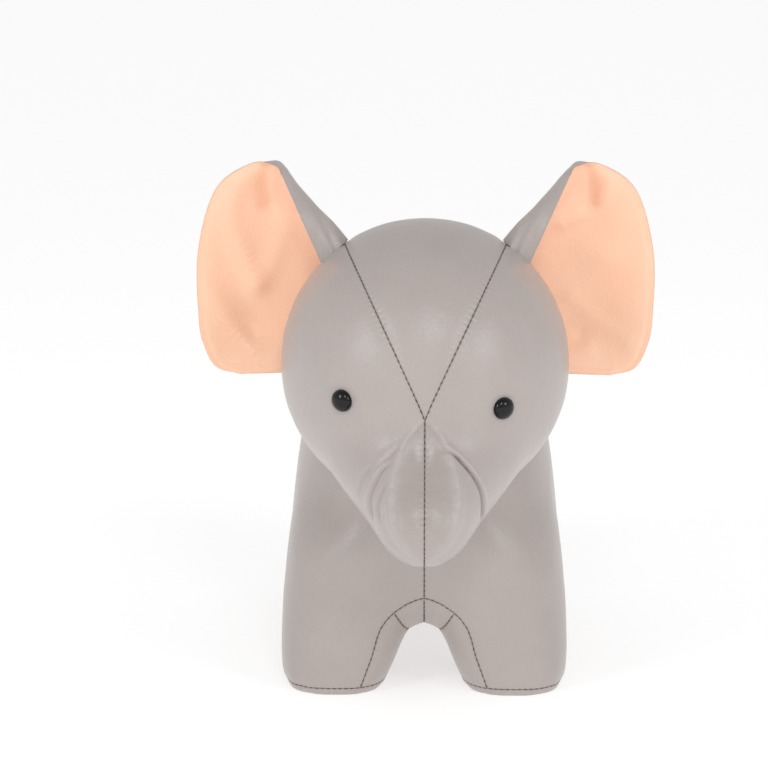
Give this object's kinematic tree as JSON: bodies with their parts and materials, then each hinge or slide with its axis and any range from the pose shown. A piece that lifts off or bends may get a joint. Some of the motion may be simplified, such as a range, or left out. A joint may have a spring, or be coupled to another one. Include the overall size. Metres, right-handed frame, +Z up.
{
  "type": "stuffed toy elephant",
  "caption": "Stuffed toy elephant sewn from soft leather-like panels, standing on stubby legs, with cupped two-tone ears that flap, a short trunk and a hanging tail.",
  "frame": {"origin": "centre of the bounding box on the floor plane under the soles", "axes": "+Z up, the elephant faces -Y, its own left side is at +X"},
  "size_m": [0.1876, 0.2582, 0.2249],
  "materials": {
    "grey_leather": "fine-grained soft faux leather with a satin sheen",
    "peach_leather": "fine-grained soft faux leather with a satin sheen",
    "eye_plastic": "glossy",
    "washer_plastic": "matt moulded",
    "fibre_filling": "loose white polyester fibre"
  },
  "bodies": {
    "body": {"forehead_gusset": "grey_leather", "head_side_left": "grey_leather", "head_side_right": "grey_leather", "body_side_left": "grey_leather", "body_side_right": "grey_leather", "belly_left": "grey_leather", "belly_right": "grey_leather", "inner_leg_front_left": "grey_leather", "inner_leg_front_right": "grey_leather", "inner_leg_rear_left": "grey_leather", "inner_leg_rear_right": "grey_leather", "sole_front_left": "grey_leather", "sole_front_right": "grey_leather", "sole_rear_left": "grey_leather", "sole_rear_right": "grey_leather", "eye_left": "eye_plastic", "eye_right": "eye_plastic", "eye_washer_left": "washer_plastic", "eye_washer_right": "washer_plastic", "head_filling": "fibre_filling", "body_filling": "fibre_filling"},
    "ear_left": {"ear_front_left": "peach_leather", "ear_wadding_left": "fibre_filling", "ear_back_left": "grey_leather"},
    "ear_right": {"ear_front_right": "peach_leather", "ear_wadding_right": "fibre_filling", "ear_back_right": "grey_leather"},
    "tail": {"tail_strip": "grey_leather", "tail_tuft": "grey_leather"}
  },
  "joints": [
    {"name": "ear_left_flap", "type": "hinge", "parent": "body", "child": "ear_left", "pos_m": [0.0505, -0.0341, 0.1616], "axis": [0.252, 0.291, -0.9229], "range_deg": [-3, 28], "stiffness_Nm_per_rad": 0.08},
    {"name": "ear_right_flap", "type": "hinge", "parent": "body", "child": "ear_right", "pos_m": [-0.0505, -0.0341, 0.1616], "axis": [0.252, -0.291, 0.9229], "range_deg": [-3, 28], "stiffness_Nm_per_rad": 0.08},
    {"name": "tail_swing", "type": "hinge", "parent": "body", "child": "tail", "pos_m": [0, 0.1203, 0.092], "axis": [1, 0, 0], "range_deg": [0, 80]}
  ]
}
